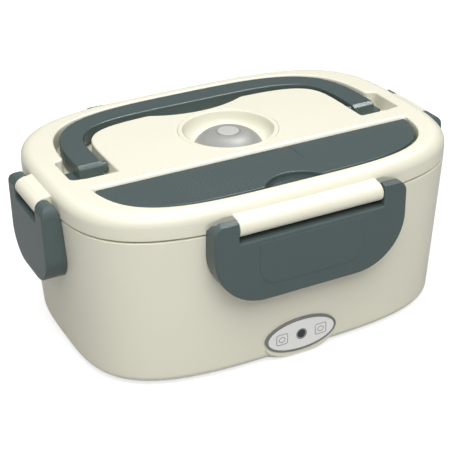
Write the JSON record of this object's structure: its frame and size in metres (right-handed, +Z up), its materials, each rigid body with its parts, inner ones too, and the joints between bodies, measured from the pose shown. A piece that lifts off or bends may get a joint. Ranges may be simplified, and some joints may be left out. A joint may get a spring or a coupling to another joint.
{
  "type": "electric lunch box",
  "caption": "Electric lunch box with a lift-off latched lid, a folding carry handle, a cutlery pocket with a hinged cover, a steam vent and a heated steel container.",
  "frame": {"origin": "centre of the footprint, on the table", "axes": "+Z up, the front with the badge faces -Y, +X along the length to the right"},
  "size_m": [0.236, 0.1682, 0.099],
  "materials": {
    "cream_plastic": "satin",
    "slate_plastic": "satin",
    "white_plastic": "satin",
    "dark_plastic": "matte",
    "dark_rubber": "matte",
    "silicone": "matte",
    "steel": "brushed",
    "spring_steel": "satin",
    "screw_steel": "satin",
    "aluminium": "satin",
    "ceramic_block": "matte",
    "felt": "matte",
    "board_green": "satin",
    "lamp_dark": "gloss",
    "badge_white": "satin",
    "wire_rubber": "matte"
  },
  "bodies": {
    "base": {"outer_shell": "cream_plastic", "bottom_cover": "cream_plastic", "rubber_feet": "dark_rubber", "bottom_screws": "screw_steel", "liner": "white_plastic", "heating_plate": "aluminium", "ptc_heater": "ceramic_block", "heater_clamp": "spring_steel", "clamp_screws": "screw_steel", "thermostat": "dark_plastic", "thermal_fuse": "ceramic_block", "insulation_mat": "felt", "circuit_board": "board_green", "board_screws": "screw_steel", "power_led": "lamp_dark", "badge_plate": "badge_white", "mains_socket": "dark_plastic", "car_socket": "dark_plastic", "wiring": "wire_rubber", "socket_cover_pin": "screw_steel"},
    "socket_flap": {"socket_cover": "dark_rubber"},
    "container": {"food_container": "steel", "container_divider": "white_plastic"},
    "lid": {"lid_shell": "cream_plastic", "lid_inner": "white_plastic", "lid_seal": "silicone", "vent_bowl": "cream_plastic", "handle_pins": "screw_steel", "wide_latch_pins": "screw_steel", "narrow_latch_pins": "screw_steel"},
    "valve": {"vent_valve": "silicone"},
    "pocket_cover": {"cutlery_cover": "slate_plastic"},
    "cutlery": {"spoon": "steel"},
    "carry_handle": {"handle": "slate_plastic"},
    "latch_front": {"front_latch": "slate_plastic"},
    "latch_back": {"back_latch": "slate_plastic"},
    "latch_left": {"left_latch": "slate_plastic"},
    "latch_right": {"right_latch": "slate_plastic"}
  },
  "joints": [
    {"name": "lid_lift", "type": "slide", "parent": "base", "child": "lid", "axis": [0, 0, 1], "range_m": [0, 0.16]},
    {"name": "container_lift", "type": "slide", "parent": "base", "child": "container", "axis": [0, 0, 1], "range_m": [0, 0.07]},
    {"name": "handle_fold", "type": "hinge", "parent": "lid", "child": "carry_handle", "pos_m": [0, 0.0027, 0.0945], "axis": [1, 0, 0], "range_deg": [0, 90]},
    {"name": "pocket_cover_hinge", "type": "hinge", "parent": "lid", "child": "pocket_cover", "pos_m": [0, -0.0278, 0.0973], "axis": [-1, 0, 0], "range_deg": [0, 95]},
    {"name": "spoon_lift", "type": "slide", "parent": "lid", "child": "cutlery", "axis": [0, 0, 1], "range_m": [0, 0.02]},
    {"name": "valve_lift", "type": "slide", "parent": "lid", "child": "valve", "axis": [0, 0, 1], "range_m": [0, 0.012]},
    {"name": "front_latch_hinge", "type": "hinge", "parent": "lid", "child": "latch_front", "pos_m": [0, -0.0795, 0.0888], "axis": [-1, 0, 0], "range_deg": [0, 90]},
    {"name": "back_latch_hinge", "type": "hinge", "parent": "lid", "child": "latch_back", "pos_m": [0, 0.0795, 0.0888], "axis": [1, 0, 0], "range_deg": [0, 90]},
    {"name": "left_latch_hinge", "type": "hinge", "parent": "lid", "child": "latch_left", "pos_m": [-0.1134, 0, 0.0888], "axis": [0, 1, 0], "range_deg": [0, 90]},
    {"name": "right_latch_hinge", "type": "hinge", "parent": "lid", "child": "latch_right", "pos_m": [0.1134, 0, 0.0888], "axis": [0, -1, 0], "range_deg": [0, 90]},
    {"name": "socket_cover_hinge", "type": "hinge", "parent": "base", "child": "socket_flap", "pos_m": [0, 0.0749, 0.0226], "axis": [1, 0, 0], "range_deg": [0, 150]}
  ],
  "couplings": [
    {"joint": "container_lift", "follows": "lid_lift", "ratio": 0.4375},
    {"joint": "spoon_lift", "follows": "pocket_cover_hinge", "m_per_rad": 0.012}
  ]
}
